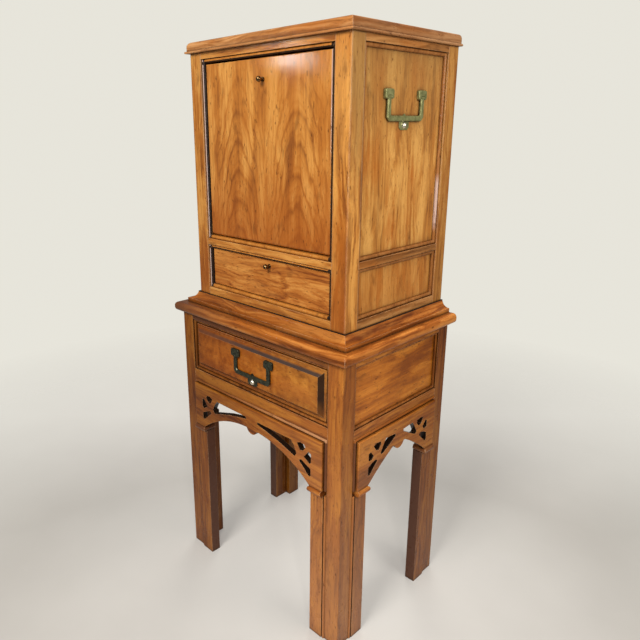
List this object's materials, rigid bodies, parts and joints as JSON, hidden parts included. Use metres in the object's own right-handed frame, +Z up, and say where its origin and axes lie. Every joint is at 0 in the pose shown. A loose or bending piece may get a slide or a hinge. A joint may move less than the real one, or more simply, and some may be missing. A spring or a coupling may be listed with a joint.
{
  "type": "campaign cabinet",
  "caption": "Narrow drop-front wooden cabinet with brass swing handles, resting in the coved moulding of a stand with a drawer, fretted aprons and square legs",
  "frame": {"origin": "on the floor under the middle of the whole piece", "axes": "+X to the right seen from the front, +Y to the back, +Z up"},
  "size_m": [0.482, 0.348, 1.129],
  "materials": {
    "fruitwood": "satin lacquer over honey stain with dark glaze",
    "figured_veneer": "satin lacquered figured veneer",
    "secondary_wood": "plain sealed secondary wood",
    "aged_brass": "aged olive brass",
    "dark_bronze": "dark green-black bronzed brass",
    "polished_brass": "polished pale brass",
    "fitting_brass": "plain brass",
    "black_housing": "moulded black"
  },
  "bodies": {
    "stand": {"stand_post_front_left": "fruitwood", "stand_post_front_right": "fruitwood", "stand_post_rear_left": "fruitwood", "stand_post_rear_right": "fruitwood", "front_leg_wings": "fruitwood", "side_leg_wings": "fruitwood", "leg_capitals": "fruitwood", "leg_and_apron_beads": "fruitwood", "fret_apron_front": "fruitwood", "fret_apron_left": "fruitwood", "fret_apron_right": "fruitwood", "stand_front_rails": "fruitwood", "stand_side_rails": "fruitwood", "stand_side_panels": "figured_veneer", "stand_beads": "fruitwood", "stand_back_panel": "secondary_wood", "stand_drawer_runners": "secondary_wood", "stand_top": "fruitwood", "retaining_moulding": "fruitwood"},
    "case": {"case_post_front_left": "fruitwood", "case_post_front_right": "fruitwood", "case_post_rear_left": "fruitwood", "case_post_rear_right": "fruitwood", "case_front_rails": "fruitwood", "case_side_rails": "fruitwood", "side_panels_left": "figured_veneer", "side_panels_right": "figured_veneer", "case_front_beads": "fruitwood", "case_side_beads": "fruitwood", "case_back": "secondary_wood", "case_bottom": "secondary_wood", "compartment_floor": "secondary_wood", "shelf": "secondary_wood", "shelf_pins": "fitting_brass", "upper_drawer_runners": "secondary_wood", "case_top": "fruitwood", "top_lip": "fruitwood", "pivot_pins": "fitting_brass", "stay_keepers": "fitting_brass", "magnet_catch": "black_housing", "handle_mount_left": "aged_brass", "handle_mount_right": "aged_brass", "side_handle_studs": "polished_brass"},
    "drop_front": {"drop_front_panel": "figured_veneer", "drop_front_bushes": "fitting_brass", "quadrant_stays": "fitting_brass", "strike_plate": "fitting_brass", "drop_front_knob": "dark_bronze"},
    "upper_drawer": {"upper_drawer_front": "figured_veneer", "upper_drawer_box": "secondary_wood", "upper_drawer_bottom": "secondary_wood", "upper_drawer_knob": "dark_bronze"},
    "stand_drawer": {"stand_drawer_front": "figured_veneer", "stand_drawer_box": "secondary_wood", "stand_drawer_bottom": "secondary_wood", "drawer_handle_mount": "dark_bronze", "drawer_handle_stud": "polished_brass"},
    "left_bail": {"handle_bail_left": "aged_brass"},
    "right_bail": {"handle_bail_right": "aged_brass"},
    "drawer_bail": {"drawer_handle_bail": "dark_bronze"}
  },
  "joints": [
    {"name": "case_lift", "type": "slide", "parent": "stand", "child": "case", "axis": [0, 0, 1], "range_m": [0, 0.05]},
    {"name": "drop_front_hinge", "type": "hinge", "parent": "case", "child": "drop_front", "pos_m": [0, -0.1185, 0.765], "axis": [1, 0, 0], "range_deg": [0, 90]},
    {"name": "upper_drawer_slide", "type": "slide", "parent": "case", "child": "upper_drawer", "axis": [0, -1, 0], "range_m": [0, 0.19]},
    {"name": "stand_drawer_slide", "type": "slide", "parent": "stand", "child": "stand_drawer", "axis": [0, -1, 0], "range_m": [0, 0.19]},
    {"name": "right_bail_swing", "type": "hinge", "parent": "case", "child": "right_bail", "pos_m": [0.1995, 0.022, 1.0175], "axis": [0, -1, 0], "range_deg": [0, 90]},
    {"name": "left_bail_swing", "type": "hinge", "parent": "case", "child": "left_bail", "pos_m": [-0.1995, 0.022, 1.0175], "axis": [0, 1, 0], "range_deg": [0, 90]},
    {"name": "drawer_bail_swing", "type": "hinge", "parent": "stand_drawer", "child": "drawer_bail", "pos_m": [0, -0.1669, 0.5345], "axis": [-1, 0, 0], "range_deg": [0, 90]}
  ]
}
